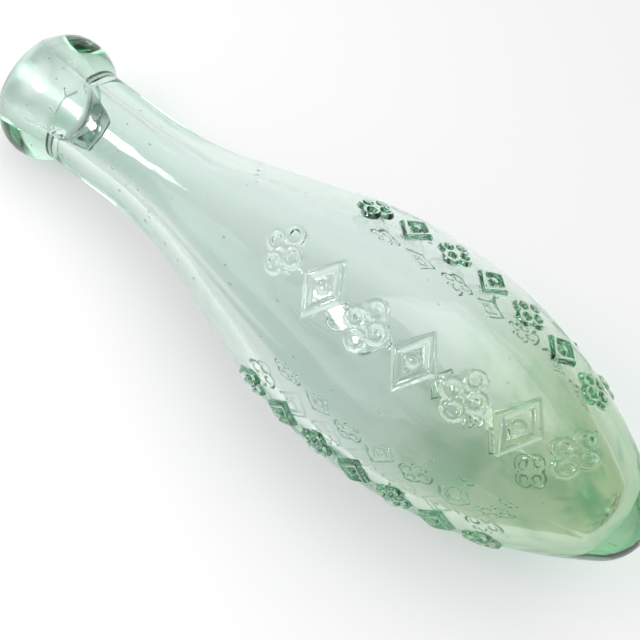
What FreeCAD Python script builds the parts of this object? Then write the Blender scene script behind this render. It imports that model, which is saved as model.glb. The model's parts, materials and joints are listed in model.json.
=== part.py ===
import FreeCAD
import Part
import math
import os

# Outer form of the bottle. Stations run along its axis from the base point to the mouth.
belly_diameter = 60.2
belly_station = 67.7
belly_arc_radius = 112.0
base_point_radius = 12.6
shoulder_taper_deg = 17.9
shoulder_arc_radius = 79.0
neck_diameter = 25.6
neck_height = 36.7

# Hollow of the bottle
bore_diameter = 16.0
belly_wall = 4.0
base_thickness = 9.0
inner_base_radius = 10.0

# Lip, laid on hot round the sheared end of the neck
lip_diameter = 33.6
lip_arc_radius = 10.25
mouth_edge_radius = 2.0
glass_over_neck_end = 4.0

# Tongue of lip glass that ran down the neck. Azimuth 0 faces the front and 90 the top.
lap_length = 12.5
lap_width = 14.0
lap_thickness = 1.2
lap_azimuth_deg = 57.0
# Raised ornament: rows of frames on both halves of the mould, beside and between its two seams
seam_azimuth_deg = 28.0
row_from_seam = 17.4
relief_height = 1.1
frames_in_row = 7
octagon_width_share = 0.8
octagon_corner_share = 0.55
front_row_start = 23.5
front_row_pitch = 13.0
front_frame_length = 11.0
front_frame_width = 16.4
front_stroke = 2.0
side_row_start = 29.0
side_row_pitch = 10.6
side_frame_length = 8.8
side_frame_width = 11.5
side_stroke = 1.7

belly_radius = belly_diameter / 2
neck_radius = neck_diameter / 2
bore_radius = bore_diameter / 2
lip_radius = lip_diameter / 2
neck_wall = neck_radius - bore_radius
origin = FreeCAD.Vector(0, 0, 0)
bottle_axis = FreeCAD.Vector(1, 0, 0)


def at(station, radius):
    """A point of the half section, with the base point at the origin and the mouth towards -X."""
    return FreeCAD.Vector(-station, 0, radius)


class Arc:
    """An arc of the half section. Angles run from square to the axis, and are positive towards the mouth."""

    def __init__(self, station, height, radius):
        self.station = station
        self.height = height
        self.radius = radius

    def point(self, angle):
        along = self.radius * math.sin(angle)
        out = self.radius * math.cos(angle)
        return at(self.station + along, self.height + out)

    def edges(self, start, end, spans=1):
        """The arc between two angles, drawn in spans, so that each swept face stays short."""
        step = (end - start) / spans
        starts = [start + step * index for index in range(spans)]
        return [self.edge(angle, angle + step) for angle in starts]

    def edge(self, start, end):
        middle = (start + end) / 2
        return Part.Arc(self.point(start), self.point(middle), self.point(end)).toShape()


class Skin:
    """One skin of the glass: base point, flank, belly, straight taper and hollow shoulder, all tangent."""

    def __init__(self, base, nose, belly, belly_arc, shoulder_arc, neck):
        rise = belly_station - base
        flank = (rise**2 + belly**2 - 2 * rise * nose) / (2 * (belly - nose))
        taper = math.radians(shoulder_taper_deg)
        drop = belly - neck - (belly_arc + shoulder_arc) * (1 - math.cos(taper))
        taper_run = drop / math.tan(taper)
        self.base = base
        self.neck = neck
        self.taper = taper
        self.swing = math.atan2(rise - nose, flank - belly)
        self.neck_start = belly_station + (belly_arc + shoulder_arc) * math.sin(taper) + taper_run
        self.nose_arc = Arc(base + nose, 0, nose)
        self.flank_arc = Arc(belly_station, belly - flank, flank)
        self.belly_arc = Arc(belly_station, belly - belly_arc, belly_arc)
        self.shoulder_arc = Arc(self.neck_start, neck + shoulder_arc, -shoulder_arc)

    def edges(self, flank_spans=6, belly_spans=2):
        """The half section from the base point on the axis to the foot of the neck."""
        taper_foot = self.belly_arc.point(self.taper)
        taper_top = self.shoulder_arc.point(self.taper)
        return [
            *self.nose_arc.edges(-math.pi / 2, -self.swing),
            *self.flank_arc.edges(-self.swing, 0, flank_spans),
            *self.belly_arc.edges(0, self.taper, belly_spans),
            *lines([taper_foot, taper_top]),
            *self.shoulder_arc.edges(self.taper, 0),
        ]

    def radius_at(self, station):
        """The radius of the flank or the belly at a station."""
        arc = self.belly_arc if station > belly_station else self.flank_arc
        return arc.height + math.sqrt(arc.radius**2 - (station - arc.station) ** 2)


def lines(points):
    return [Part.LineSegment(start, end).toShape() for start, end in zip(points, points[1:])]


def turned(edges):
    """The solid that a closed half section sweeps round the bottle's axis."""
    return Part.Face(Part.Wire(edges)).revolve(origin, bottle_axis, 360)


def outer_skin(stand_off):
    """The outside of the glass, or the surface that lies an even distance above it."""
    return Skin(
        -stand_off,
        base_point_radius + stand_off,
        belly_radius + stand_off,
        belly_arc_radius + stand_off,
        shoulder_arc_radius - stand_off,
        neck_radius + stand_off,
    )


outside = outer_skin(0)
inside = Skin(
    base_thickness,
    inner_base_radius,
    belly_radius - belly_wall,
    belly_arc_radius - belly_wall,
    shoulder_arc_radius + neck_wall,
    bore_radius,
)
mouth_station = outside.neck_start + neck_height
neck_end = mouth_station - glass_over_neck_end


def glass_body():
    """Blown bottle with a thick pointed base, and a neck sheared off square."""
    sheared_neck = lines(
        [
            at(outside.neck_start, neck_radius),
            at(neck_end, neck_radius),
            at(neck_end, bore_radius),
            at(inside.neck_start, bore_radius),
        ]
    )
    base = lines([at(inside.base, 0), at(outside.base, 0)])
    hollow = list(reversed(inside.edges()))
    return turned(outside.edges() + sheared_neck + hollow + base)


# The lip's round outside meets the neck at its foot. The mouth's edge is tangent to it and to the bore.
lip_height = lip_radius - lip_arc_radius
edge_height = bore_radius + mouth_edge_radius
edge_reach = lip_arc_radius - mouth_edge_radius
edge_swing = math.acos((edge_height - lip_height) / edge_reach)
mouth_edge = Arc(mouth_station - mouth_edge_radius, edge_height, mouth_edge_radius)
lip_round = Arc(mouth_edge.station - edge_reach * math.sin(edge_swing), lip_height, lip_arc_radius)
lip_foot_angle = -math.acos((neck_radius - lip_height) / lip_arc_radius)
lip_foot = lip_round.point(lip_foot_angle)


def applied_lip():
    """Rounded ring of glass that wraps the neck's end, with the tongue that ran down the neck."""
    seat = lines(
        [
            mouth_edge.point(math.pi),
            at(neck_end, bore_radius),
            at(neck_end, neck_radius),
            lip_foot,
        ]
    )
    ring = turned(
        [
            *lip_round.edges(lip_foot_angle, edge_swing, spans=3),
            *mouth_edge.edges(edge_swing, math.pi),
            *seat,
        ]
    )
    film_start = FreeCAD.Vector(lip_foot.x - lap_thickness, 0, 0)
    film_length = lap_length + 2 * lap_thickness
    film = Part.makeCylinder(neck_radius + lap_thickness, film_length, film_start, bottle_axis)
    film = film.cut(Part.makeCylinder(neck_radius, film_length, film_start, bottle_axis))
    outline = Part.Ellipse(FreeCAD.Vector(lip_foot.x, 0, 0), lap_length, lap_width / 2)
    oval = Part.Face(Part.Wire(outline.toShape())).extrude(FreeCAD.Vector(0, 0, lip_diameter))
    oval.rotate(origin, bottle_axis, 90 - lap_azimuth_deg)
    return ring.fuse(film.common(oval)).removeSplitter()


def filled(skin):
    """A skin taken as a full solid, up to the end of the neck."""
    foot = at(skin.neck_start, skin.neck)
    end = [foot, at(neck_end, skin.neck), at(neck_end, 0), at(skin.base, 0)]
    return turned(skin.edges(flank_spans=1, belly_spans=1) + lines(end))


def prism(outline):
    """A prism on an outline of points along and across the glass, tall enough to pass through it."""
    points = [FreeCAD.Vector(-along, across, 0) for along, across in outline]
    wire = Part.makePolygon(points + points[:1])
    return Part.Face(wire).extrude(FreeCAD.Vector(0, 0, belly_diameter))


def lozenge(station, length, width):
    along = length / 2
    across = width / 2
    return [(station - along, 0), (station, -across), (station + along, 0), (station, across)]


def octagon(station, length, width):
    along = length / 2
    across = width / 2
    corner = octagon_corner_share * along
    quarter = [(along, corner - across), (along, across - corner), (along - corner, across)]
    half = quarter + [(corner - along, across)]
    return [(station + a, b) for a, b in half] + [(station - a, -b) for a, b in half]


def lozenge_frame(station, length, width, stroke):
    inset = 1 - 2 * stroke * math.hypot(length, width) / (length * width)
    hole = prism(lozenge(station, length * inset, width * inset))
    return prism(lozenge(station, length, width)).cut(hole)


def octagon_frame(station, length, width, stroke):
    width = width * octagon_width_share
    hole = prism(octagon(station, length - 2 * stroke, width - 2 * stroke))
    return prism(octagon(station, length, width)).cut(hole)


def ornament_row(start, pitch, size, azimuth_at):
    """Octagons and lozenges by turns along the glass, cut to the height of the relief."""
    row = []
    for index in range(frames_in_row):
        station = start + index * pitch
        frame = (lozenge_frame if index % 2 else octagon_frame)(station, *size)
        frame.rotate(origin, bottle_axis, 90 - azimuth_at(station))
        row.append(frame)
    return relief.common(Part.makeCompound(row)).Solids


def beside_seam(seam_deg, way):
    """The azimuth, by station, of a row that keeps an even distance from a seam."""
    return lambda station: seam_deg + way * math.degrees(row_from_seam / outside.radius_at(station))


def side_row(azimuth_at):
    size = (side_frame_length, side_frame_width, side_stroke)
    return ornament_row(side_row_start, side_row_pitch, size, azimuth_at)


def upper_ornament():
    """The rows of the mould half that lies uppermost: the large front row, the middle and the back row."""
    size = (front_frame_length, front_frame_width, front_stroke)
    front = ornament_row(front_row_start, front_row_pitch, size, beside_seam(seam_azimuth_deg, 1))
    middle = side_row(lambda station: seam_azimuth_deg + 90)
    back = side_row(beside_seam(seam_azimuth_deg + 180, -1))
    return Part.makeCompound(front + middle + back)


def lower_ornament():
    """The rows of the other mould half, which leave the line that the bottle lies on clear."""
    front = side_row(beside_seam(seam_azimuth_deg, -1))
    middle = side_row(lambda station: seam_azimuth_deg - 90)
    back = side_row(beside_seam(seam_azimuth_deg + 180, 1))
    return Part.makeCompound(front + middle + back)


def resting_place():
    """Lays the bottle down on its belly and its lip, with its middle over the origin."""
    belly = outside.belly_arc
    run = lip_round.station - belly.station
    fall = lip_round.height - belly.height
    slope = math.asin((belly.radius - lip_round.radius) / math.hypot(run, fall))
    dip = slope - math.atan2(fall, run)
    turn = FreeCAD.Rotation(FreeCAD.Vector(0, -1, 0), math.degrees(dip))
    point_end = base_point_radius * (1 - math.cos(dip))
    mouth_end = mouth_edge.station * math.cos(dip) + edge_height * math.sin(dip) + mouth_edge_radius
    middle = (point_end - mouth_end) / 2
    height = belly.radius - turn.multVec(at(belly.station, -belly.height)).z
    return FreeCAD.Placement(FreeCAD.Vector(-middle, 0, height), turn)


relief = filled(outer_skin(relief_height)).cut(filled(outside))
pieces = {
    "glass_body": glass_body(),
    "applied_lip": applied_lip(),
    "upper_ornament": upper_ornament(),
    "lower_ornament": lower_ornament(),
}
place = resting_place()
os.makedirs("parts", exist_ok=True)
for name, shape in pieces.items():
    shape.Placement = place.multiply(shape.Placement)
    shape.exportStep(f"parts/{name}.step")
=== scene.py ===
import json
import math
import random

import bmesh
import bpy
from mathutils import Matrix, Vector, geometry, noise

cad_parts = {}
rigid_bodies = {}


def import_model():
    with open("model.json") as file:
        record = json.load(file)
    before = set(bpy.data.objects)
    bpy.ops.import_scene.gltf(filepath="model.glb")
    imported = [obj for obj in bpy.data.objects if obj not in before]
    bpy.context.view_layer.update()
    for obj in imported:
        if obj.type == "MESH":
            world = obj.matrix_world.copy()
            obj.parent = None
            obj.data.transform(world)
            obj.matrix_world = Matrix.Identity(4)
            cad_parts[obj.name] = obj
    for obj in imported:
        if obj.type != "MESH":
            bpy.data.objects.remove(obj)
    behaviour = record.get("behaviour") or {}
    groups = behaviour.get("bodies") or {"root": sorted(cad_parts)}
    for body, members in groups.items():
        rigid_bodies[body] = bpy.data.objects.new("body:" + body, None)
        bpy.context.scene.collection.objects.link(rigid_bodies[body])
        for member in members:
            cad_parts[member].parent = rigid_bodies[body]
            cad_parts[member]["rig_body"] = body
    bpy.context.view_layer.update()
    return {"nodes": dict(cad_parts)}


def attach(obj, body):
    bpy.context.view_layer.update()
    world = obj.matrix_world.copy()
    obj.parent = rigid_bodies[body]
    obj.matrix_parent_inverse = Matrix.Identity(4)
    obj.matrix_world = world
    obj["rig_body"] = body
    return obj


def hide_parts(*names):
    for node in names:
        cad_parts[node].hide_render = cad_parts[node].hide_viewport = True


bl_info = {
    "name": "Pointed Glass Bottle",
    "version": (1, 0, 0),
    "blender": (4, 5, 0),
    "location": "View3D > Sidebar > Bottle",
    "description": "Models an antique pointed bottle of aqua glass with raised ornament and an applied lip",
    "category": "Object",
}

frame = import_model()
FULL_TURN = 2 * math.pi


# Sizes and colours


def length(name, description, default):
    """Property for a length in metres."""
    return bpy.props.FloatProperty(name=name, description=description, default=default,
                                   unit="LENGTH")


def angle(name, description, degrees):
    """Property for an angle, with its default in degrees."""
    return bpy.props.FloatProperty(name=name, description=description,
                                   default=math.radians(degrees), subtype="ANGLE")


def amount(name, description, default):
    """Property for a strength that isn't below zero."""
    return bpy.props.FloatProperty(name=name, description=description, default=default, min=0)


def count(name, description, default):
    """Property for a number of things."""
    return bpy.props.IntProperty(name=name, description=description, default=default, min=0)


def colour(name, description, default):
    """Property for a colour."""
    return bpy.props.FloatVectorProperty(name=name, description=description, default=default,
                                         subtype="COLOR", min=0, max=1)


class BottleShape(bpy.types.PropertyGroup):
    """Sizes of the blown body. Stations run along the axis from the base point to the mouth."""

    belly_diameter: length("Belly diameter", "Widest diameter of the body", 0.0602)
    belly_station: length(
        "Belly station", "Distance of the widest ring from the base point", 0.0677)
    belly_arc: length("Belly arc", "Radius of the arc above the widest ring", 0.112)
    base_radius: length("Base radius", "Radius of the rounded base point", 0.0126)
    taper: angle("Shoulder taper", "Slope of the shoulder", 17.9)
    shoulder_arc: length("Shoulder arc", "Radius of the hollow arc into the neck", 0.079)
    neck_diameter: length("Neck diameter", "Outside of the neck", 0.0256)
    neck_height: length("Neck height", "Straight neck up to the mouth, lip included", 0.0367)
    bore_diameter: length("Bore diameter", "Inside of the neck", 0.016)
    belly_wall: length("Belly wall", "Thickness of the glass at the belly", 0.004)
    base_thickness: length("Base thickness", "Solid glass in the base point", 0.009)
    inner_base_radius: length("Inner base radius", "Radius of the hollow's rounded end", 0.010)
    dip: angle("Dip", "Slope of the axis when the bottle lies on its belly and lip", 7.2613)
    base_place: bpy.props.FloatVectorProperty(
        name="Base place", description="Where the base point lies",
        default=(0.093857, 0.0, 0.039313), subtype="TRANSLATION")
    seam_azimuth: angle(
        "Seam azimuth", "First mould seam, counted from the front over the top", 28.0)
    seam_height: length("Seam height", "How far the mould seams stand out", 0.00018)
    relief: length("Relief", "How far the ornament stands out", 0.0011)
    row_from_seam: length(
        "Row from seam", "Distance of the outer ornament rows from a seam", 0.0174)
    ripple: length("Ripple", "Unevenness of the outer skin", 0.00005)
    inner_wave: length("Inner wave", "Unevenness of the blown inner skin", 0.0004)
    seed_count: count("Seeds", "Small bubbles in the body glass", 70)


class LipShape(bpy.types.PropertyGroup):
    """Sizes of the lip that was laid on hot, and of the tongue of glass that ran down from it."""

    diameter: length("Lip diameter", "Widest diameter of the lip", 0.0336)
    arc: length("Lip arc", "Radius of the lip's round section", 0.01025)
    mouth_edge: length("Mouth edge", "Radius between lip and bore", 0.002)
    joint: length("Joint", "Height of the fused joint above the lip's foot", 0.0006)
    lap: length("Lap", "How far the lip glass sinks into the neck's skin", 0.00006)
    tongue_length: length("Tongue length", "How far the glass ran down the neck", 0.0128)
    tongue_thickness: length("Tongue thickness", "Thickness of the run", 0.0011)
    flow: length("Flow", "Width over which the lip melts into its tongue", 0.0030)
    tongue_azimuth: angle(
        "Tongue azimuth", "Middle of the run, counted from the front over the top", 57.0)
    seed_count: count("Seeds", "Small bubbles in the lip glass", 22)


class GlassLook(bpy.types.PropertyGroup):
    """Colours and finish of the aqua glass."""

    absorption: colour("Glass tint", "Colour that thick glass takes on", (0.12, 0.74, 0.40))
    density: amount("Tint density", "Strength of the tint per metre of glass", 19.0)
    ior: bpy.props.FloatProperty(
        name="IOR", description="Index of refraction", default=1.5, min=1, max=2)
    shadow: colour(
        "Shadow tint", "Light that each wall lets through to the floor", (0.995, 1.0, 0.997))
    neck_tone: colour("Neck tone", "Tone of the clear glass at the neck", (0.985, 0.995, 1.0))
    base_tone: colour(
        "Base tone", "Tone of the glass towards the base, between its streaks", (0.71, 0.775, 0.60))
    residue: colour("Residue", "Brown film left in the base", (0.17, 0.11, 0.06))
    streak: colour("Streak", "Deep green streaks in the glass towards the base", (0.32, 0.58, 0.40))
    # Painted shade and dirt: dark colour laid into the lip's creases and over its tongue
    shade_and_dirt: colour(
        "Shade and dirt", "Old dirt in the creases of the lip and along its tongue", (0.07, 0.11, 0.09))


class StageLook(bpy.types.PropertyGroup):
    """Floor, light and camera."""

    floor: colour("Floor", "Colour of the floor", (0.95, 0.95, 0.95))
    sky: amount("Sky", "Strength of the soft surround", 1.0)
    key: amount("Key", "Power of the window light", 3.6)
    top: amount("Top", "Power of the soft light overhead", 6.0)
    camera_place: bpy.props.FloatVectorProperty(
        name="Camera place", description="Where the camera stands",
        default=(0.039367, -0.174009, 0.338711), subtype="TRANSLATION")
    camera_turn: bpy.props.FloatVectorProperty(
        name="Camera turn", description="Turn of the camera",
        default=tuple(math.radians(a) for a in (25.5116, -14.1994, 38.8928)), subtype="EULER")
    lens: bpy.props.FloatProperty(
        name="Lens", description="Focal length in millimetres", default=84.375)


# The bottle's frame


def lay_down(shape):
    """Matrix that lays the bottle from its own axis onto the floor."""
    return Matrix.Translation(shape.base_place) @ Matrix.Rotation(-shape.dip, 4, "Y")


def on_bottle(station, radius, azimuth):
    """Point at a station, radius and azimuth. Azimuth 0 is the front and a quarter turn the top."""
    return Vector((-station, -radius * math.cos(azimuth), radius * math.sin(azimuth)))


def station_of(point):
    return -point.x


def radius_of(point):
    return math.hypot(point.y, point.z)


def azimuth_of(point):
    return math.atan2(point.z, -point.y)


def turn_between(azimuth, other):
    """Smallest turn from one azimuth to another."""
    return (azimuth - other + math.pi) % FULL_TURN - math.pi


def ease(low, high, value):
    """Smooth step from 0 at the low end to 1 at the high end."""
    t = min(1.0, max(0.0, (value - low) / (high - low)))
    return t * t * (3 - 2 * t)


# Profiles

MERGE_DISTANCE = 1e-6


class Skin:
    """Arcs of one wall of the body: base point, flank, belly, taper, shoulder and neck."""

    def __init__(self, shape, base, nose, belly, belly_arc, shoulder_arc, neck):
        rise = shape.belly_station - base
        self.base, self.nose, self.belly, self.neck = base, nose, belly, neck
        self.belly_station = shape.belly_station
        self.flank = (rise ** 2 + belly ** 2 - 2 * rise * nose) / (2 * (belly - nose))
        self.swing = math.atan2(rise - nose, self.flank - belly)
        self.taper = shape.taper
        self.belly_arc, self.shoulder_arc = belly_arc, shoulder_arc
        both = belly_arc + shoulder_arc
        drop = belly - neck - both * (1 - math.cos(self.taper))
        turned = self.belly_station + both * math.sin(self.taper)
        self.neck_start = turned + drop / math.tan(self.taper)

    def draw(self, bm, neck_end, steps):
        """Draws the wall from the axis to the neck's end and returns its vertices in order."""
        nose, flank, belly, taper, shoulder, neck = steps
        line = [bm.verts.new(on_bottle(self.base, 0, math.pi / 2))]
        line += sweep(bm, line[-1], self.base + self.nose, 0, math.pi / 2 - self.swing, nose)
        line += sweep(bm, line[-1], self.belly_station, self.belly - self.flank, self.swing, flank)
        line += sweep(bm, line[-1], self.belly_station, self.belly - self.belly_arc,
                      self.taper, belly)
        end = self.neck_start - self.shoulder_arc * math.sin(self.taper)
        height = self.neck + self.shoulder_arc * (1 - math.cos(self.taper))
        line += straight(bm, line[-1], end, height, taper)
        line += sweep(bm, line[-1], self.neck_start, self.neck + self.shoulder_arc,
                      -self.taper, shoulder)
        line += straight(bm, line[-1], neck_end, self.neck, neck)
        return line

    def radius_at(self, station):
        """Radius of the wall at a station above the base point's own arc."""
        along = station - self.belly_station
        if along <= 0:
            return self.belly - self.flank + math.sqrt(self.flank ** 2 - along ** 2)
        turn = self.belly_arc * math.sin(self.taper)
        if along < turn:
            return self.belly - self.belly_arc + math.sqrt(self.belly_arc ** 2 - along ** 2)
        back = self.neck_start - station
        if back <= 0:
            return self.neck
        if back < self.shoulder_arc * math.sin(self.taper):
            return self.neck + self.shoulder_arc - math.sqrt(self.shoulder_arc ** 2 - back ** 2)
        top = self.belly - self.belly_arc * (1 - math.cos(self.taper))
        return top - (along - turn) * math.tan(self.taper)


def outer_skin(shape):
    return Skin(shape, 0.0, shape.base_radius, shape.belly_diameter / 2, shape.belly_arc,
                shape.shoulder_arc, shape.neck_diameter / 2)


def inner_skin(shape):
    neck_wall = (shape.neck_diameter - shape.bore_diameter) / 2
    return Skin(shape, shape.base_thickness, shape.inner_base_radius,
                shape.belly_diameter / 2 - shape.belly_wall, shape.belly_arc - shape.belly_wall,
                shape.shoulder_arc + neck_wall, shape.bore_diameter / 2)


def sweep(bm, start, station, height, angle, steps):
    """Spins a vertex about a point of the axis plane and returns the new vertices in order."""
    before = len(bm.verts)
    bmesh.ops.spin(bm, geom=[start], cent=on_bottle(station, height, math.pi / 2), axis=(0, 1, 0),
                   angle=-angle, steps=steps, use_duplicate=False)
    bm.verts.ensure_lookup_table()
    return bm.verts[before:]


def straight(bm, start, station, height, steps):
    """Extrudes a vertex along a straight line and returns the new vertices in order."""
    line, step = [start], (on_bottle(station, height, math.pi / 2) - start.co) / steps
    for _ in range(steps):
        made = bmesh.ops.extrude_vert_indiv(bm, verts=[line[-1]])["verts"][0]
        made.co = line[-1].co + step
        line.append(made)
    return line[1:]


def revolve(bm, start, sectors):
    """Spins the drawn section round the axis, sector by sector from an azimuth, and closes it."""
    turn = Matrix.Rotation(math.pi / 2 - start, 4, "X")
    bmesh.ops.transform(bm, matrix=turn, verts=bm.verts[:])
    section = bm.verts[:] + bm.edges[:]
    for degrees, steps in sectors:
        spun = bmesh.ops.spin(bm, geom=section, cent=(0, 0, 0), axis=(-1, 0, 0),
                              angle=math.radians(degrees), steps=steps,
                              use_merge=degrees == 360, use_duplicate=False)
        section = spun["geom_last"]
    bmesh.ops.remove_doubles(bm, verts=bm.verts[:], dist=MERGE_DISTANCE)
    bmesh.ops.recalc_face_normals(bm, faces=bm.faces[:])


def add_seeds(bm, seeds):
    """Adds small bubbles, drawn out along the axis, with their skins facing into the hollow."""
    strewn = bmesh.new()
    for place, width, length in seeds:
        shaped = Matrix.Translation(place) @ Matrix.Diagonal((length, width, width, 1))
        bmesh.ops.create_icosphere(strewn, subdivisions=2, radius=0.5, matrix=shaped)
    bmesh.ops.reverse_faces(strewn, faces=strewn.faces[:])
    mesh = bpy.data.meshes.new("seeds")
    strewn.to_mesh(mesh)
    strewn.free()
    bm.from_mesh(mesh)
    bpy.data.meshes.remove(mesh)


def finish_piece(name, bm, place, finish, *nodes):
    """Makes the object, lays it down, and hands it over to the frame in place of its nodes."""
    bmesh.ops.transform(bm, matrix=place, verts=bm.verts[:])
    mesh = bpy.data.meshes.new(name)
    bm.to_mesh(mesh)
    bm.free()
    mesh.polygons.foreach_set("use_smooth", [True] * len(mesh.polygons))
    mesh.materials.append(finish)
    piece = bpy.data.objects.new(name, mesh)
    bpy.context.scene.collection.objects.link(piece)
    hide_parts(*nodes)
    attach(piece, frame["nodes"][nodes[0]]["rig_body"])


# Raised ornament

# Shares of a motif's stroke, and for the leaves' reach of its height
LOZENGE_PELLET = 0.75
LEAF_REACH, LEAF_EDGE, LEAF_PELLET = 0.4, 0.4, 0.55

# Rows along the body: the large one at the front, and the pattern of the other five
FRONT_ROW = {"start": 0.0235, "pitch": 0.0130, "count": 7,
             "high": 0.0164, "wide": 0.0110, "stroke": 0.0020}
SIDE_ROW = {"start": 0.0290, "pitch": 0.0106, "count": 7,
            "high": 0.0115, "wide": 0.0088, "stroke": 0.0017}


def lozenge(u, v, high, wide, stroke):
    """Distance to the strokes of a lozenge frame round a pellet, below zero inside them."""
    a, b = wide / 2, high / 2
    inside = (abs(v) / a + abs(u) / b - 1) / math.hypot(1 / a, 1 / b)
    return min(abs(inside + stroke / 2) - stroke / 2, math.hypot(u, v) - stroke * LOZENGE_PELLET)


def quatrefoil(u, v, high, wide, stroke):
    """Distance to the outline of four leaves round a pellet, below zero inside it."""
    leaf, line = wide / 4, stroke * LEAF_EDGE
    u, v = abs(u), abs(v)
    round_leaf = math.hypot(u - LEAF_REACH * high + leaf, v)
    along_leaf = math.hypot(u, v - wide / 2 + leaf)
    edge = min(round_leaf, along_leaf) - leaf
    return min(abs(edge + line) - line, math.hypot(u, v) - stroke * LEAF_PELLET)


class OrnamentRow:
    """One row of ornament along the body, a fixed distance from a seam."""

    def __init__(self, azimuth, offset, start, pitch, count, high, wide, stroke):
        self.azimuth, self.offset = azimuth, offset
        self.start, self.pitch, self.count = start, pitch, count
        self.high, self.wide, self.stroke = high, wide, stroke

    def gap(self, station, radius, azimuth):
        """Distance from a point of the skin to the nearest stroke of the row."""
        place = (station - self.start) / self.pitch
        index = min(self.count - 1, max(0, round(place)))
        u = radius * turn_between(azimuth, self.azimuth + self.offset / radius)
        if abs(u) > self.high:
            return self.high / 2
        v = (place - index) * self.pitch
        motif = lozenge if index % 2 else quatrefoil
        return motif(u, v, self.high, self.wide, self.stroke)

    def height(self, station, radius, azimuth):
        """Height of the round-backed strokes at a point of the skin, from 0 to 1."""
        depth = -self.gap(station, radius, azimuth) / (self.stroke / 2)
        return math.sqrt(1 - (1 - min(1.0, depth)) ** 2) if depth > 0 else 0.0


def ornament_rows(shape):
    """Three rows on each half of the mould: one near each seam and one midway."""
    seam, offset = shape.seam_azimuth, shape.row_from_seam
    return [
        OrnamentRow(seam, offset, **FRONT_ROW),
        OrnamentRow(seam, -offset, **SIDE_ROW),
        OrnamentRow(seam + math.pi / 2, 0.0, **SIDE_ROW),
        OrnamentRow(seam + math.pi, -offset, **SIDE_ROW),
        OrnamentRow(seam + math.pi, offset, **SIDE_ROW),
        OrnamentRow(seam - math.pi / 2, 0.0, **SIDE_ROW),
    ]


# Glass body

# Steps along base point, flank, belly, taper, shoulder and neck
OUTER_STEPS = (14, 56, 31, 22, 14, 16)
INNER_STEPS = (7, 16, 9, 6, 7, 8)

# Sectors from the first seam on, in degrees and steps: finest where the front row stands
BODY_SECTORS = ((71, 40), (289, 120))

# Stations between which the ornament lies, depth to which a face counts as outer skin, and how
# near a stroke each round of refining reaches
ORNAMENT_FROM, ORNAMENT_TO = 0.013, 0.112
SKIN_DEPTH = 0.0015
REFINE_REACHES = (0.0009, 0.0003)

# Uneven skins: scales and shares of their noises, and the stations where they fade out
RIPPLES, RIPPLE_END = ((160, 1.0), (420, 0.6)), (0.145, 0.156)
WAVES, WAVE_END = ((55, 1.0), (130, 0.5)), (0.13, 0.16)
WAVE_STRETCH = 0.6

# Mould seams: their half width and the stations where they fade in and out
SEAM_WIDTH, SEAM_START, SEAM_END = 0.0006, (0.004, 0.02), (0.13, 0.165)

# Base point: the radius inside which it is plain, and the station up to which all skin is outer
NOSE_RADIUS, NOSE_STATION = 0.004, 0.0045
AXIS_RADIUS = 1e-5

# Seeds: the topmost station, their reach from it and how they crowd there, and their ranges of
# depth in the wall, width, and length for each width
BODY_CHANCE = 7
SEED_TOP, SEED_REACH, SEED_CROWDING = 0.168, 0.15, 1.6
SEED_DEPTH, SEED_WIDTH, SEED_LENGTH = (0.25, 0.75), (0.00022, 0.00055), (1.1, 2.6)


def unevenness(point, layers):
    """Sum of noises at a point."""
    return sum(share * noise.noise(point * scale) for scale, share in layers)


def refine(bm, outside, rows, reach):
    """Divides the faces of the outer skin that lie near a stroke, and rounds them again."""
    edges = set()
    for face in bm.faces:
        middle = face.calc_center_median()
        station, radius = station_of(middle), radius_of(middle)
        if not ORNAMENT_FROM < station < ORNAMENT_TO:
            continue
        if radius > outside.radius_at(station) - SKIN_DEPTH:
            azimuth = azimuth_of(middle)
            if min(row.gap(station, radius, azimuth) for row in rows) < reach:
                edges.update(face.edges)
    made = bmesh.ops.subdivide_edges(bm, edges=list(edges), cuts=1, use_grid_fill=True)
    for vert in made["geom_inner"]:
        if isinstance(vert, bmesh.types.BMVert):
            station = station_of(vert.co)
            vert.co = on_bottle(station, outside.radius_at(station), azimuth_of(vert.co))


def outer_rise(point, shape, rows):
    """How far the outer skin stands above its plain form at a point."""
    station, radius, azimuth = station_of(point), radius_of(point), azimuth_of(point)
    rise = shape.ripple * (1 - ease(*RIPPLE_END, station)) * unevenness(point, RIPPLES)
    if radius < NOSE_RADIUS:
        return rise
    seam = abs(turn_between(2 * azimuth, 2 * shape.seam_azimuth)) / 2 * radius
    fade = ease(*SEAM_START, station) * (1 - ease(*SEAM_END, station))
    rise += shape.seam_height * fade * max(0.0, 1 - seam / SEAM_WIDTH)
    return rise + shape.relief * max(row.height(station, radius, azimuth) for row in rows)


def inner_shift(point, shape):
    """How far the blown inner skin wanders at a point."""
    along = Vector((point.x * WAVE_STRETCH, point.y, point.z))
    fade = 1 - ease(*WAVE_END, station_of(point))
    return shape.inner_wave * fade * unevenness(along, WAVES)


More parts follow.
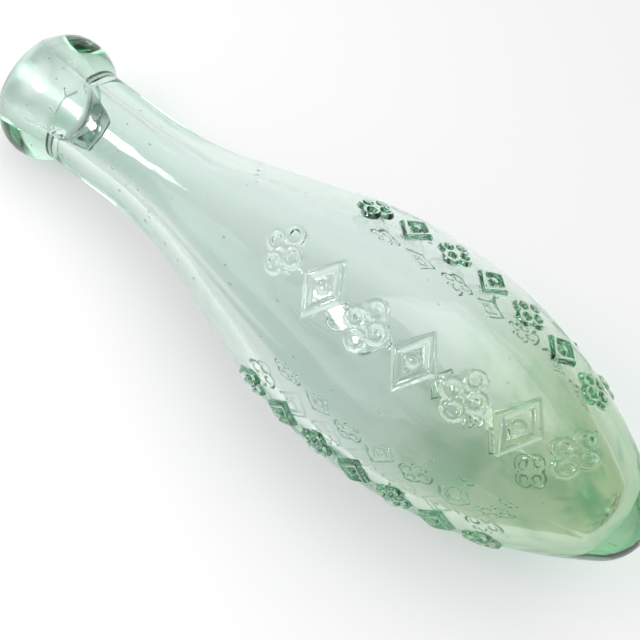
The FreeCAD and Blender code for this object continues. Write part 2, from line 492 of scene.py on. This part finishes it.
class BOTTLE_OT_glass_body(bpy.types.Operator):
    """Spins both walls of the blown body, raises ornament and seams, and strews seeds in the glass"""

    bl_idname = "bottle.glass_body"
    bl_label = "Glass Body"

    def execute(self, context):
        shape, lip = context.scene.bottle_shape, context.scene.bottle_lip
        neck_end = LipSection(shape, lip).foot + lip.joint
        outside, inside, rows = outer_skin(shape), inner_skin(shape), ornament_rows(shape)
        bm = bmesh.new()
        outer = outside.draw(bm, neck_end, OUTER_STEPS)
        inner = inside.draw(bm, neck_end, INNER_STEPS)
        bm.edges.new((outer[-1], inner[-1]))
        revolve(bm, shape.seam_azimuth, BODY_SECTORS)
        self.dip_joint(bm, lip, outside.neck_start, neck_end)
        for reach in REFINE_REACHES:
            refine(bm, outside, rows, reach)
        self.shape_skins(bm, shape, rows)
        self.strew(bm, shape, outside, inside)
        finish = aqua_glass("aqua_body_glass", bore_haze=0.0)
        finish_piece("blown_glass_body", bm, lay_down(shape), finish,
                     "glass_body", "upper_ornament", "lower_ornament")
        return {"FINISHED"}

    def dip_joint(self, bm, lip, neck_start, neck_end):
        """Draws the neck's end down where the thick flow of lip glass covers it."""
        for vert in bm.verts:
            share = (station_of(vert.co) - neck_start) / (neck_end - neck_start)
            if share > 0:
                vert.co.x += share * joint_drop(azimuth_of(vert.co), lip)

    def shape_skins(self, bm, shape, rows):
        """Raises the outer skin and lets the inner one wander, along their normals."""
        bm.normal_update()
        moves = []
        for vert in bm.verts:
            out = Vector((0, vert.co.y, vert.co.z))
            if vert.normal.dot(out) > 0 or station_of(vert.co) < NOSE_STATION:
                moves.append((vert, vert.normal * outer_rise(vert.co, shape, rows)))
            elif radius_of(vert.co) > AXIS_RADIUS:
                moves.append((vert, vert.normal * inner_shift(vert.co, shape)))
        for vert, move in moves:
            vert.co += move

    def strew(self, bm, shape, outside, inside):
        """Puts seeds in the thick of the wall, denser towards the neck."""
        chance = random.Random(BODY_CHANCE)
        seeds = []
        for _ in range(shape.seed_count):
            station = SEED_TOP - SEED_REACH * chance.random() ** SEED_CROWDING
            outer, inner = outside.radius_at(station), inside.radius_at(station)
            radius = inner + (outer - inner) * chance.uniform(*SEED_DEPTH)
            width = chance.uniform(*SEED_WIDTH)
            place = on_bottle(station, radius, chance.uniform(0, FULL_TURN))
            seeds.append((place, width, width * chance.uniform(*SEED_LENGTH)))
        add_seeds(bm, seeds)


# Applied lip

# Steps along the lip's section and round the axis, and distances that clean its mesh
TONGUE_STEPS, ROUND_STEPS, EDGE_STEPS = 26, 64, 16
BORE_STEPS, JOINT_STEPS, LAP_STEPS = 16, 6, 8
LIP_STEPS = 240
LIP_MERGE, LIP_DISSOLVE = 4e-6, 2e-6
FOOT_SLACK, NECK_SLACK = 1e-7, 1e-6

# Sides of the tongue in degrees from its middle, the scallop of its edge, and the share of its
# length from which it has its full thickness
TONGUE_LEFT, TONGUE_RIGHT = (-36, -23), (14, 42)
SCALLOP_LEVEL, SCALLOP_SIZE, SCALLOP_RATE = 0.97, 0.03, 7
FULL_SHARE = 0.5

# Film of the tongue and thick flow under the lip: the flow's drop, its middle and half width in
# degrees, its thickness and slope, how it fades up the lip, and how far the joint follows it
FILM_POWER = 6
FLOW_DROP, FLOW_MIDDLE, FLOW_HALF = 0.0072, -4, 44
FLOW_THICKNESS, FLOW_SLOPE, FLOW_FADE = 0.0013, 0.0007, 0.004
JOINT_SHARE = 0.6

# Last drop of the tongue and the painted shade and dirt round it, as degrees, drop and the spread of each
BEAD_HEIGHT, BEAD = 0.0009, {"at": 16, "wide": 7, "down": 0.0098, "long": 0.0016}
BEAD_SHADE_AND_DIRT, BEAD_SHADE_AND_DIRT_SPOT = 0.80, {"at": 18, "wide": 9, "down": 0.0085, "long": 0.0028}
# Painted shade and dirt over the tongue: a veil past the flow's edge, a dark line along its rim
VEIL_SHADE_AND_DIRT, VEIL_EDGE = 0.50, (-0.0004, 0.0010)
RIM_SHADE_AND_DIRT, RIM_WIDTH = 0.70, 0.0006

# Dents of the tool
DENT_DEPTH, DENT_SCALE, DENT_LEVEL, DENT_START = 0.00028, 95, 0.75, 0.006

# Creases on the lip, each from a station and an azimuth in degrees to another
CREASES = (
    ((0.1699, 45.5), (0.1702, 58.5)),
    ((0.1702, 58.5), (0.1701, 64.5)),
    ((0.1701, 64.5), (0.1689, 74)),
    ((0.1701, 64.5), (0.1716, 69.5)),
    ((0.1699, 45.5), (0.1718, 48.5)),
)
CREASE_WIDTH, CREASE_DEPTH, CREASE_RADIUS = 0.00036, 0.00030, 0.0152
CREASE_REACHES = (0.0012, 0.0007)
CREASE_BELOW_FOOT, CREASE_ABOVE_NECK = 0.0025, 0.0008

# Seeds: station from the lip's middle, share of its arc inside a margin, width, length for each
# width, and least depth under its skin
LIP_CHANCE = 21
LIP_SEED_STATION, LIP_SEED_SHARE, LIP_SEED_MARGIN = (-0.005, 0.006), (0.82, 0.95), 0.0006
LIP_SEED_WIDTH, LIP_SEED_LENGTH, LIP_SEED_DEPTH = (0.0002, 0.0005), 1.3, 0.0007


class LipSection:
    """Where the lip's round section stands: its centre, its foot on the neck, its edge at the bore."""

    def __init__(self, shape, lip):
        self.mouth = outer_skin(shape).neck_start + shape.neck_height
        self.neck = shape.neck_diameter / 2
        self.low = lip.diameter / 2 - lip.arc
        self.edge = shape.bore_diameter / 2 + lip.mouth_edge
        reach = math.sqrt((lip.arc - lip.mouth_edge) ** 2 - (self.edge - self.low) ** 2)
        self.centre = self.mouth - lip.mouth_edge - reach
        self.foot = self.centre - math.sqrt(lip.arc ** 2 - (self.neck - self.low) ** 2)
        self.lean = math.atan2(self.edge - self.low, reach)
        self.first = math.atan2(self.centre - self.foot, self.neck - self.low)


def tongue_reach(turn):
    """Share of the tongue's length that is filled at a turn from its middle."""
    degrees = math.degrees(turn)
    left, right = ease(*TONGUE_LEFT, degrees), 1 - ease(*TONGUE_RIGHT, degrees)
    scallop = math.cos(math.radians(degrees * SCALLOP_RATE))
    return min(left, right) * (SCALLOP_LEVEL + SCALLOP_SIZE * scallop)


def flow_edge(turn):
    """How far below the foot the thick flow ends at a turn from the tongue's middle."""
    return FLOW_DROP * max(0.0, 1 - ((math.degrees(turn) - FLOW_MIDDLE) / FLOW_HALF) ** 2)


def joint_drop(azimuth, lip):
    """How far the fused joint dips at an azimuth, where the thick flow covers it."""
    turn = turn_between(azimuth, lip.tongue_azimuth)
    return min(flow_edge(turn), JOINT_SHARE * tongue_reach(turn) * lip.tongue_length)


def spot(turn, drop, at, wide, down, long):
    """Share of a soft spot on the tongue at a turn and a drop, 1 in its middle."""
    return math.exp(-((math.degrees(turn) - at) / wide) ** 2 - ((drop - down) / long) ** 2)


def tongue_rise(turn, along, lip):
    """Thickness of the tongue at a share of its length: a film, the thick flow, the last drop."""
    drop, edge = along * tongue_reach(turn) * lip.tongue_length, flow_edge(turn)
    film = lip.tongue_thickness * math.sqrt(max(0.0, 1 - along ** FILM_POWER))
    flow = FLOW_THICKNESS * (1 - ease(edge - FLOW_SLOPE, edge + FLOW_SLOPE, drop))
    return film + flow + BEAD_HEIGHT * spot(turn, drop, **BEAD)


def tongue_shade_and_dirt(turn, along, lip):
    """Painted shade and dirt on the tongue at a share of its length: a veil, the flow's rim, the last drop.
    """
    drop = along * tongue_reach(turn) * lip.tongue_length
    past = drop - flow_edge(turn)
    veil = VEIL_SHADE_AND_DIRT * ease(*VEIL_EDGE, past)
    rim = RIM_SHADE_AND_DIRT * math.exp(-(past / RIM_WIDTH) ** 2)
    return min(1.0, veil + rim + BEAD_SHADE_AND_DIRT * spot(turn, drop, **BEAD_SHADE_AND_DIRT_SPOT))


def melt(a, b, width):
    """The larger of two radii, melted into each other where they come within a width."""
    near = max(0.0, width - abs(a - b))
    return max(a, b) + near * near / (4 * width) if width > 0 else max(a, b)


def crease_gap(point):
    """Distance from a point of the lip to the nearest crease."""
    here = Vector((station_of(point), azimuth_of(point) * CREASE_RADIUS))
    gaps = []
    for ends in CREASES:
        start, end = (Vector((station, math.radians(degrees) * CREASE_RADIUS))
                      for station, degrees in ends)
        along = geometry.intersect_point_line(here, start, end)[1]
        gaps.append((here - start.lerp(end, min(1.0, max(0.0, along)))).length)
    return min(gaps)


class BOTTLE_OT_applied_lip(bpy.types.Operator):
    """Spins the rounded lip over the neck's end and lets a tongue of its glass run down the neck"""

    bl_idname = "bottle.applied_lip"
    bl_label = "Applied Lip"

    def execute(self, context):
        shape, lip = context.scene.bottle_shape, context.scene.bottle_lip
        cut = LipSection(shape, lip)
        bm = bmesh.new()
        # Share of painted shade and dirt at each vertex, in the creases and on the tongue
        shade_and_dirt = bm.verts.layers.float.new("shade_and_dirt")
        self.draw_section(bm, shape, lip, cut)
        revolve(bm, 0.0, [(360, LIP_STEPS)])
        bm.normal_update()
        for vert in bm.verts:
            self.settle(vert, cut, lip, shade_and_dirt)
        bmesh.ops.remove_doubles(bm, verts=bm.verts[:], dist=LIP_MERGE)
        bmesh.ops.dissolve_degenerate(bm, edges=bm.edges[:], dist=LIP_DISSOLVE)
        self.mark(bm, cut, shade_and_dirt)
        self.strew(bm, lip, cut)
        finish = aqua_glass("aqua_lip_glass", bore_haze=0.35)
        finish_piece("applied_lip_glass", bm, lay_down(shape), finish, "applied_lip")
        return {"FINISHED"}

    def draw_section(self, bm, shape, lip, cut):
        """Draws the skirt, the round outside, the mouth's edge, the bore, the joint and the lap."""
        inner, bore = cut.neck - lip.lap, shape.bore_diameter / 2
        end, low_edge = cut.foot + lip.joint - lip.lap, cut.foot - lip.tongue_length
        line = [bm.verts.new(on_bottle(low_edge, inner, math.pi / 2))]
        line += straight(bm, line[-1], low_edge, cut.neck, 1)
        line += straight(bm, line[-1], cut.foot, cut.neck, TONGUE_STEPS)
        line += sweep(bm, line[-1], cut.centre, cut.low, cut.first + math.pi / 2 - cut.lean,
                      ROUND_STEPS)
        line += sweep(bm, line[-1], cut.mouth - lip.mouth_edge, cut.edge, math.pi / 2 + cut.lean,
                      EDGE_STEPS)
        line += straight(bm, line[-1], end, bore, BORE_STEPS)
        line += straight(bm, line[-1], end, inner, JOINT_STEPS)
        line += straight(bm, line[-1], cut.foot, inner, 1)
        line += straight(bm, line[-1], low_edge, inner, LAP_STEPS)

    def settle(self, vert, cut, lip, shade_and_dirt):
        """Draws the skirt into its tongue, and gives the lip its flow and the tool's dents."""
        foot, neck = cut.foot, cut.neck
        station, radius, azimuth = station_of(vert.co), radius_of(vert.co), azimuth_of(vert.co)
        turn = turn_between(azimuth, lip.tongue_azimuth)
        reach = tongue_reach(turn)
        full = ease(0, FULL_SHARE, reach)
        drop, top = joint_drop(azimuth, lip), cut.mouth - lip.mouth_edge
        if station < foot + FOOT_SLACK:
            along = (foot - station) / lip.tongue_length
            station = foot - lip.tongue_length * reach * along
            if radius > neck - NECK_SLACK:
                below = cut.centre - station
                lip_line = cut.low + math.sqrt(max(0.0, lip.arc ** 2 - below ** 2))
                tongue = neck + tongue_rise(turn, along, lip) * full
                radius = melt(lip_line, tongue, lip.flow * full)
                # Paints shade and dirt over the tongue
                vert[shade_and_dirt] = tongue_shade_and_dirt(turn, along, lip) * full
            else:
                station -= drop * (1 - along)
            vert.co = on_bottle(station, radius, azimuth)
        elif radius < neck and station < top:
            share = (top - station) / (top - foot - lip.joint + lip.lap)
            vert.co.x += drop * min(1.0, share)
        elif radius > neck:
            tongue = neck + tongue_rise(turn, 0.0, lip) * full
            flowed = melt(radius, tongue, lip.flow * full) - radius
            flowed *= 1 - ease(cut.centre - FLOW_FADE, cut.centre, station)
            dent = DENT_DEPTH * (noise.noise(vert.co * DENT_SCALE) - DENT_LEVEL)
            dent *= ease(0.0, DENT_START, station - foot)
            vert.co = on_bottle(station, radius + flowed, azimuth) + vert.normal * dent

    def mark(self, bm, cut, shade_and_dirt):
        """Presses the creases into a finer patch at the lip's foot, and paints shade and dirt into them."""
        for reach in CREASE_REACHES:
            edges = [edge for edge in bm.edges if self.on_lip(edge, cut)
                     and crease_gap((edge.verts[0].co + edge.verts[1].co) / 2) < reach]
            bmesh.ops.subdivide_edges(bm, edges=edges, cuts=1, use_grid_fill=True)
        bm.normal_update()
        for vert in bm.verts:
            gap = crease_gap(vert.co)
            if gap < CREASE_WIDTH and radius_of(vert.co) > cut.neck + CREASE_ABOVE_NECK:
                share = 1 - gap / CREASE_WIDTH
                vert.co -= vert.normal * CREASE_DEPTH * share
                # Painted shade and dirt, darkest in the crease's middle
                vert[shade_and_dirt] = max(vert[shade_and_dirt], share)

    def on_lip(self, edge, cut):
        """Whether an edge lies on the outside of the lip or of its flow."""
        return all(station_of(vert.co) > cut.foot - CREASE_BELOW_FOOT
                   and radius_of(vert.co) > cut.neck + CREASE_ABOVE_NECK for vert in edge.verts)

    def strew(self, bm, lip, cut):
        """Puts seeds in the thick of the lip."""
        chance = random.Random(LIP_CHANCE)
        seeds = []
        for _ in range(lip.seed_count):
            station = cut.centre + chance.uniform(*LIP_SEED_STATION)
            radius = cut.low + (lip.arc - LIP_SEED_MARGIN) * chance.uniform(*LIP_SEED_SHARE)
            width = chance.uniform(*LIP_SEED_WIDTH)
            skin = cut.low + math.sqrt(lip.arc ** 2 - (cut.centre - station) ** 2)
            radius = min(radius, skin - width / 2 - LIP_SEED_DEPTH)
            place = on_bottle(station, radius, chance.uniform(0, FULL_TURN))
            seeds.append((place, width, width * LIP_SEED_LENGTH))
        add_seeds(bm, seeds)


# Finishes

# Sockets of a Mix node that mixes colours
MIX_A, MIX_B, MIX_RESULT = 6, 7, 2

# Wear: scale and turn of the scuffs, ranges of noise that show, and the roughness of clean glass
SCUFF_SCALE, SCUFF_TURN, SCUFF_RANGE = (90, 1400, 1400), (0, 0.5, 0.2), (0.66, 0.74)
HAZE_RANGE = (0.52, 0.75)
POLISH = 0.012
WEAR = {"Scuffs": 0.10, "Haze": 0.02, "Ripple": 0.4}

# Tone along the axis, streaks in it, and the film round a point of the hollow's end
TONE_RANGE = (-0.080, -0.005)
STREAK_SCALE, STREAK_RANGE = (38, 62, 62), (0.52, 0.66)
FILM_HEIGHT, FILM_RANGE, SPECK_RANGE = 0.002, (0.0080, 0.0040), (0.46, 0.58)

# Distances from the bore's wall at which its haze begins and is full
BORE_CLEAR, BORE_HAZED = 0.0006, 0.0002


def add_node(tree, kind, place, **values):
    """Adds a node, with its settings by name and its inputs by socket name."""
    node = tree.nodes.new(kind)
    node.location = place
    for key, value in values.items():
        if hasattr(node, key):
            setattr(node, key, value)
        else:
            node.inputs[key.replace("_", " ").title()].default_value = value
    return node


def add_math(tree, place, operation, **values):
    return add_node(tree, "ShaderNodeMath", place, operation=operation, **values)


def add_range(tree, place, low, high, **values):
    """Adds a node that takes a range of values to 0 at its low end and 1 at its high end."""
    return add_node(tree, "ShaderNodeMapRange", place, from_min=low, from_max=high, **values)


def add_mix(tree, place, colour):
    """Adds a mix of a linked colour with a set one."""
    node = add_node(tree, "ShaderNodeMix", place, data_type="RGBA")
    node.inputs[MIX_B].default_value = (*colour, 1)
    return node


def wire(tree, *runs):
    """Links nodes. Each run is a node, its output, the next node and that one's input."""
    for source, output, target, socket in runs:
        tree.links.new(source.outputs[output], target.inputs[socket])


def surface_wear():
    """Shader group for the fine scuffs, haze and ripple of old glass, shared by both glasses."""
    if "surface_wear" in bpy.data.node_groups:
        return bpy.data.node_groups["surface_wear"]
    group = bpy.data.node_groups.new("surface_wear", "ShaderNodeTree")
    new_socket = group.interface.new_socket
    for name, default in (("Scuffs", 0.2), ("Haze", 0.1), ("Ripple", 0.5)):
        socket = new_socket(name=name, in_out="INPUT", socket_type="NodeSocketFloat")
        socket.default_value = default
    for name in ("Roughness", "Height"):
        new_socket(name=name, in_out="OUTPUT", socket_type="NodeSocketFloat")
    given = add_node(group, "NodeGroupInput", (-900, 0))
    result = add_node(group, "NodeGroupOutput", (700, 0))
    where = add_node(group, "ShaderNodeTexCoord", (-1100, 200))
    drawn = add_node(group, "ShaderNodeMapping", (-900, 300), scale=SCUFF_SCALE, rotation=SCUFF_TURN)
    lines = add_node(group, "ShaderNodeTexNoise", (-700, 300), scale=1.0, detail=3.0)
    thin = add_range(group, (-500, 300), *SCUFF_RANGE)
    cloud = add_node(group, "ShaderNodeTexNoise", (-700, 0), scale=70.0, detail=4.0)
    patch = add_range(group, (-500, 0), *HAZE_RANGE)
    swell = add_node(group, "ShaderNodeTexNoise", (-700, -300), scale=230.0, detail=2.0)
    scuffed = add_math(group, (-300, 300), "MULTIPLY")
    hazed = add_math(group, (-300, 0), "MULTIPLY")
    waved = add_math(group, (-300, -300), "MULTIPLY")
    rough = add_math(group, (-100, 150), "ADD")
    polish = add_math(group, (100, 150), "ADD")
    polish.inputs[1].default_value = POLISH
    wire(
        group,
        (where, "Object", drawn, "Vector"),
        (where, "Object", cloud, "Vector"),
        (where, "Object", swell, "Vector"),
        (drawn, "Vector", lines, "Vector"),
        (lines, "Fac", thin, "Value"),
        (cloud, "Fac", patch, "Value"),
        (thin, "Result", scuffed, 0),
        (given, "Scuffs", scuffed, 1),
        (patch, "Result", hazed, 0),
        (given, "Haze", hazed, 1),
        (swell, "Fac", waved, 0),
        (given, "Ripple", waved, 1),
        (scuffed, 0, rough, 0),
        (hazed, 0, rough, 1),
        (rough, 0, polish, 0),
        (polish, 0, result, "Roughness"),
        (waved, 0, result, "Height"),
    )
    return group


def aqua_glass(name, bore_haze):
    """Aqua glass: clear in thin walls, green in thick ones, streaked, worn, a little dirty, with painted
    shade and dirt on the lip.
    """
    look, shape = bpy.context.scene.bottle_glass, bpy.context.scene.bottle_shape
    finish = bpy.data.materials.new(name)
    finish.use_nodes = True
    tree = finish.node_tree
    glass = tree.nodes["Principled BSDF"]
    glass.inputs["Transmission Weight"].default_value = 1.0
    glass.inputs["Metallic"].default_value = 0.0
    glass.inputs["IOR"].default_value = look.ior
    where = add_node(tree, "ShaderNodeTexCoord", (-1500, 300))
    axis = add_node(tree, "ShaderNodeMapping", (-1300, 300), vector_type="TEXTURE",
                    rotation=(0, -shape.dip, 0))
    axis.inputs["Location"].default_value = shape.base_place
    wire(tree, (where, "Object", axis, "Vector"))
    let_light_through(tree, glass, look)
    tint_glass(tree, glass, axis, look, shape)
    wear_glass(tree, glass, axis, shape, bore_haze)
    return finish


def let_light_through(tree, glass, look):
    """Tints the glass by its thickness, and lets the lamps' light through it to the floor."""
    output = tree.nodes["Material Output"]
    body = add_node(tree, "ShaderNodeVolumeAbsorption", (0, -400), density=look.density)
    body.inputs["Color"].default_value = (*look.absorption, 1)
    path = add_node(tree, "ShaderNodeLightPath", (50, 600))
    clear = add_node(tree, "ShaderNodeBsdfTransparent", (50, 250))
    clear.inputs["Color"].default_value = (*look.shadow, 1)
    through = add_node(tree, "ShaderNodeMixShader", (250, 300))
    wire(
        tree,
        (body, "Volume", output, "Volume"),
        (path, "Is Shadow Ray", through, "Fac"),
        (glass, "BSDF", through, 1),
        (clear, "BSDF", through, 2),
        (through, "Shader", output, "Surface"),
    )


def tint_glass(tree, glass, axis, look, shape):
    """Tones the skin from neck to base, with streaks, the film in the base, and painted shade and dirt."""
    split = add_node(tree, "ShaderNodeSeparateXYZ", (-1100, 550))
    low = add_range(tree, (-900, 550), *TONE_RANGE, interpolation_type="SMOOTHSTEP")
    tone = add_mix(tree, (-700, 550), look.base_tone)
    tone.inputs[MIX_A].default_value = (*look.neck_tone, 1)
    drawn = add_node(tree, "ShaderNodeMapping", (-1100, 850), scale=STREAK_SCALE)
    swirl = add_node(tree, "ShaderNodeTexNoise", (-900, 850), scale=1.0, detail=3.0, distortion=0.8)
    vein = add_range(tree, (-700, 850), *STREAK_RANGE, interpolation_type="SMOOTHSTEP")
    deep = add_math(tree, (-500, 850), "MULTIPLY")
    streaked = add_mix(tree, (-500, 650), look.streak)
    near = add_node(tree, "ShaderNodeVectorMath", (-1100, 300), operation="DISTANCE")
    near.inputs[1].default_value = on_bottle(shape.base_thickness + FILM_HEIGHT, 0, 0)
    film = add_range(tree, (-900, 300), *FILM_RANGE)
    speck = add_node(tree, "ShaderNodeTexNoise", (-1100, 0), scale=620.0, detail=5.0)
    patchy = add_range(tree, (-900, 0), *SPECK_RANGE)
    dirt = add_math(tree, (-700, 200), "MULTIPLY")
    stained = add_mix(tree, (-450, 250), look.residue)
    # Painted shade and dirt from the lip's creases and tongue, mixed over the colour
    shade_and_dirt_mask = add_node(tree, "ShaderNodeAttribute", (-450, 500), attribute_name="shade_and_dirt")
    with_shade_and_dirt = add_mix(tree, (-250, 350), look.shade_and_dirt)
    wire(
        tree,
        (axis, "Vector", split, "Vector"),
        (split, "X", low, "Value"),
        (low, "Result", tone, "Factor"),
        (axis, "Vector", drawn, "Vector"),
        (drawn, "Vector", swirl, "Vector"),
        (swirl, "Fac", vein, "Value"),
        (vein, "Result", deep, 0),
        (low, "Result", deep, 1),
        (deep, 0, streaked, "Factor"),
        (tone, MIX_RESULT, streaked, MIX_A),
        (axis, "Vector", near, 0),
        (near, "Value", film, "Value"),
        (axis, "Vector", speck, "Vector"),
        (speck, "Fac", patchy, "Value"),
        (film, "Result", dirt, 0),
        (patchy, "Result", dirt, 1),
        (dirt, 0, stained, "Factor"),
        (streaked, MIX_RESULT, stained, MIX_A),
        (shade_and_dirt_mask, "Fac", with_shade_and_dirt, "Factor"),
        (stained, MIX_RESULT, with_shade_and_dirt, MIX_A),
        (with_shade_and_dirt, MIX_RESULT, glass, "Base Color"),
    )


def wear_glass(tree, glass, axis, shape, bore_haze):
    """Gives the skin its scuffs and ripple, and the bore its haze."""
    worn = add_node(tree, "ShaderNodeGroup", (-500, -200), node_tree=surface_wear())
    for name, amount in WEAR.items():
        worn.inputs[name].default_value = amount
    bump = add_node(tree, "ShaderNodeBump", (-250, -300), strength=0.25, distance=0.00008)
    across = add_node(tree, "ShaderNodeVectorMath", (-1100, -500), operation="MULTIPLY")
    across.inputs[1].default_value = (0, 1, 1)
    radius = add_node(tree, "ShaderNodeVectorMath", (-900, -500), operation="LENGTH")
    wall = shape.bore_diameter / 2
    bore = add_range(tree, (-700, -500), wall + BORE_CLEAR, wall + BORE_HAZED, to_max=bore_haze)
    rough = add_math(tree, (-250, -100), "ADD")
    wire(
        tree,
        (worn, "Height", bump, "Height"),
        (bump, "Normal", glass, "Normal"),
        (axis, "Vector", across, 0),
        (across, "Vector", radius, 0),
        (radius, "Value", bore, "Value"),
        (worn, "Roughness", rough, 0),
        (bore, "Result", rough, 1),
        (rough, 0, glass, "Roughness"),
    )


# Stage

# Lamps: their sides and places, with the window's counted round the bottle, and their target
WINDOW_SIDES, WINDOW_STATION, WINDOW_RADIUS, WINDOW_DEGREES = (0.30, 0.16), 0.395, 0.700, 57
OVERHEAD_SIDES, OVERHEAD_PLACE = (1.2, 1.2), (0.1, 0.2, 1.3)
LAMP_TARGET = (0.0, 0.0, 0.03)

# Floor: its size, the distances over which it fades to white, and that white
FLOOR_RADIUS, FLOOR_SEGMENTS = 4.0, 96
FADE_RANGE, FAR_WHITE = (0.25, 1.1), (0.95, 0.95, 0.95, 1)

# Surround: its colours at the horizon and the zenith, and its cool greys by height between them
HORIZON, ZENITH = (0.9, 0.9, 0.9, 1), (0.4, 0.4, 0.4, 1)
SKY_GREYS, SKY_COOLNESS = ((0.12, 0.9), (0.25, 0.32), (0.70, 0.32), (0.85, 0.4)), 1.01


def aim(place, target):
    """Matrix of a light at a place that looks at a target."""
    turn = (Vector(target) - Vector(place)).to_track_quat("-Z", "Y")
    return Matrix.Translation(place) @ turn.to_matrix().to_4x4()


class BOTTLE_OT_stage(bpy.types.Operator):
    """Lays the pale floor, sets the soft surround, the two lamps and the camera"""

    bl_idname = "bottle.stage"
    bl_label = "Stage"

    def execute(self, context):
        scene, look = context.scene, context.scene.bottle_stage
        self.floor(scene, look)
        self.surround(scene, look)
        beside = on_bottle(WINDOW_STATION, WINDOW_RADIUS, math.radians(WINDOW_DEGREES))
        self.lamp(scene, "window", WINDOW_SIDES, look.key, lay_down(scene.bottle_shape) @ beside)
        self.lamp(scene, "overhead", OVERHEAD_SIDES, look.top, OVERHEAD_PLACE)
        self.camera(scene, look)
        scene.view_settings.view_transform = "Standard"
        scene.cycles.max_bounces = 32
        scene.cycles.transmission_bounces = 32
        scene.cycles.glossy_bounces = 12
        scene.cycles.transparent_max_bounces = 24
        scene.cycles.caustics_refractive = False
        return {"FINISHED"}

    def floor(self, scene, look):
        """Lays a round floor of pale plaster."""
        bm = bmesh.new()
        bmesh.ops.create_circle(bm, cap_ends=True, radius=FLOOR_RADIUS, segments=FLOOR_SEGMENTS)
        mesh = bpy.data.meshes.new("floor")
        bm.to_mesh(mesh)
        bm.free()
        plaster = bpy.data.materials.new("pale_floor")
        plaster.use_nodes = True
        tree = plaster.node_tree
        skin = tree.nodes["Principled BSDF"]
        skin.inputs["Base Color"].default_value = (*look.floor, 1)
        skin.inputs["Roughness"].default_value = 0.9
        skin.inputs["Specular IOR Level"].default_value = 0.1
        self.fade_to_white(tree, skin)
        mesh.materials.append(plaster)
        floor = bpy.data.objects.new("floor", mesh)
        scene.collection.objects.link(floor)

    def fade_to_white(self, tree, skin):
        """Shows the far floor white, to the camera and in the glass, and leaves the near one lit."""
        where = add_node(tree, "ShaderNodeTexCoord", (-900, 500))
        away = add_node(tree, "ShaderNodeVectorMath", (-700, 500), operation="LENGTH")
        far = add_range(tree, (-500, 500), *FADE_RANGE, interpolation_type="SMOOTHSTEP")
        path = add_node(tree, "ShaderNodeLightPath", (-900, 900))
        seen = add_math(tree, (-650, 900), "ADD")
        shown = add_math(tree, (-450, 900), "ADD", use_clamp=True)
        share = add_math(tree, (-250, 700), "MULTIPLY")
        white = add_node(tree, "ShaderNodeEmission", (-250, 500))
        white.inputs["Color"].default_value = FAR_WHITE
        fade = add_node(tree, "ShaderNodeMixShader", (250, 500))
        wire(
            tree,
            (where, "Object", away, 0),
            (away, "Value", far, "Value"),
            (path, "Is Camera Ray", seen, 0),
            (path, "Is Glossy Ray", seen, 1),
            (seen, 0, shown, 0),
            (path, "Is Transmission Ray", shown, 1),
            (shown, 0, share, 0),
            (far, "Result", share, 1),
            (share, 0, fade, "Fac"),
            (skin, "BSDF", fade, 1),
            (white, "Emission", fade, 2),
            (fade, "Shader", tree.nodes["Material Output"], "Surface"),
        )

    def surround(self, scene, look):
        """Sets a soft surround, pale at the horizon and grey above."""
        world = bpy.data.worlds.new("soft_surround")
        scene.world = world
        world.use_nodes = True
        tree = world.node_tree
        sky = tree.nodes["Background"]
        sky.inputs["Strength"].default_value = look.sky
        where = add_node(tree, "ShaderNodeTexCoord", (-900, 0))
        split = add_node(tree, "ShaderNodeSeparateXYZ", (-700, 0))
        shade = add_node(tree, "ShaderNodeValToRGB", (-500, 0))
        stops = shade.color_ramp.elements
        stops[0].position, stops[0].color = 0.0, HORIZON
        stops[1].position, stops[1].color = 1.0, ZENITH
        for place, grey in SKY_GREYS:
            stop = stops.new(place)
            stop.color = (grey, grey, grey * SKY_COOLNESS, 1)
        wire(
            tree,
            (where, "Generated", split, "Vector"),
            (split, "Z", shade, "Fac"),
            (shade, "Color", sky, "Color"),
        )

    def lamp(self, scene, name, sides, power, place):
        """Hangs a soft rectangular lamp that looks at the bottle."""
        light = bpy.data.lights.new(name, "AREA")
        light.shape = "RECTANGLE"
        light.size, light.size_y = sides
        light.energy = power
        lamp = bpy.data.objects.new(name, light)
        lamp.matrix_world = aim(place, LAMP_TARGET)
        scene.collection.objects.link(lamp)

    def camera(self, scene, look):
        """Sets up the camera above the bottle's front."""
        lens = bpy.data.cameras.new("camera")
        lens.lens = look.lens
        lens.sensor_width = 36.0
        lens.clip_start = 0.01
        camera = bpy.data.objects.new("camera", lens)
        camera.location = look.camera_place
        camera.rotation_euler = look.camera_turn
        scene.collection.objects.link(camera)
        scene.camera = camera


# Panel and registration


class VIEW3D_PT_bottle(bpy.types.Panel):
    """Lists the bottle's pieces and their sizes"""

    bl_label = "Pointed Glass Bottle"
    bl_idname = "VIEW3D_PT_bottle"
    bl_space_type = "VIEW_3D"
    bl_region_type = "UI"
    bl_category = "Bottle"

    def draw(self, context):
        for name in GROUPS:
            group = getattr(context.scene, name)
            box = self.layout.box()
            for size in group.__annotations__:
                box.prop(group, size)
        for operator in PIECES:
            self.layout.operator(operator.bl_idname)


PIECES = (BOTTLE_OT_glass_body, BOTTLE_OT_applied_lip, BOTTLE_OT_stage)
CLASSES = (BottleShape, LipShape, GlassLook, StageLook, *PIECES, VIEW3D_PT_bottle)
GROUPS = {
    "bottle_shape": BottleShape,
    "bottle_lip": LipShape,
    "bottle_glass": GlassLook,
    "bottle_stage": StageLook,
}


def register():
    for made in CLASSES:
        bpy.utils.register_class(made)
    for name, group in GROUPS.items():
        setattr(bpy.types.Scene, name, bpy.props.PointerProperty(type=group))


def unregister():
    for name in GROUPS:
        delattr(bpy.types.Scene, name)
    for made in reversed(CLASSES):
        bpy.utils.unregister_class(made)


def main():
    register()
    bpy.ops.bottle.glass_body()
    bpy.ops.bottle.applied_lip()
    bpy.ops.bottle.stage()


if __name__ == "__main__":
    main()
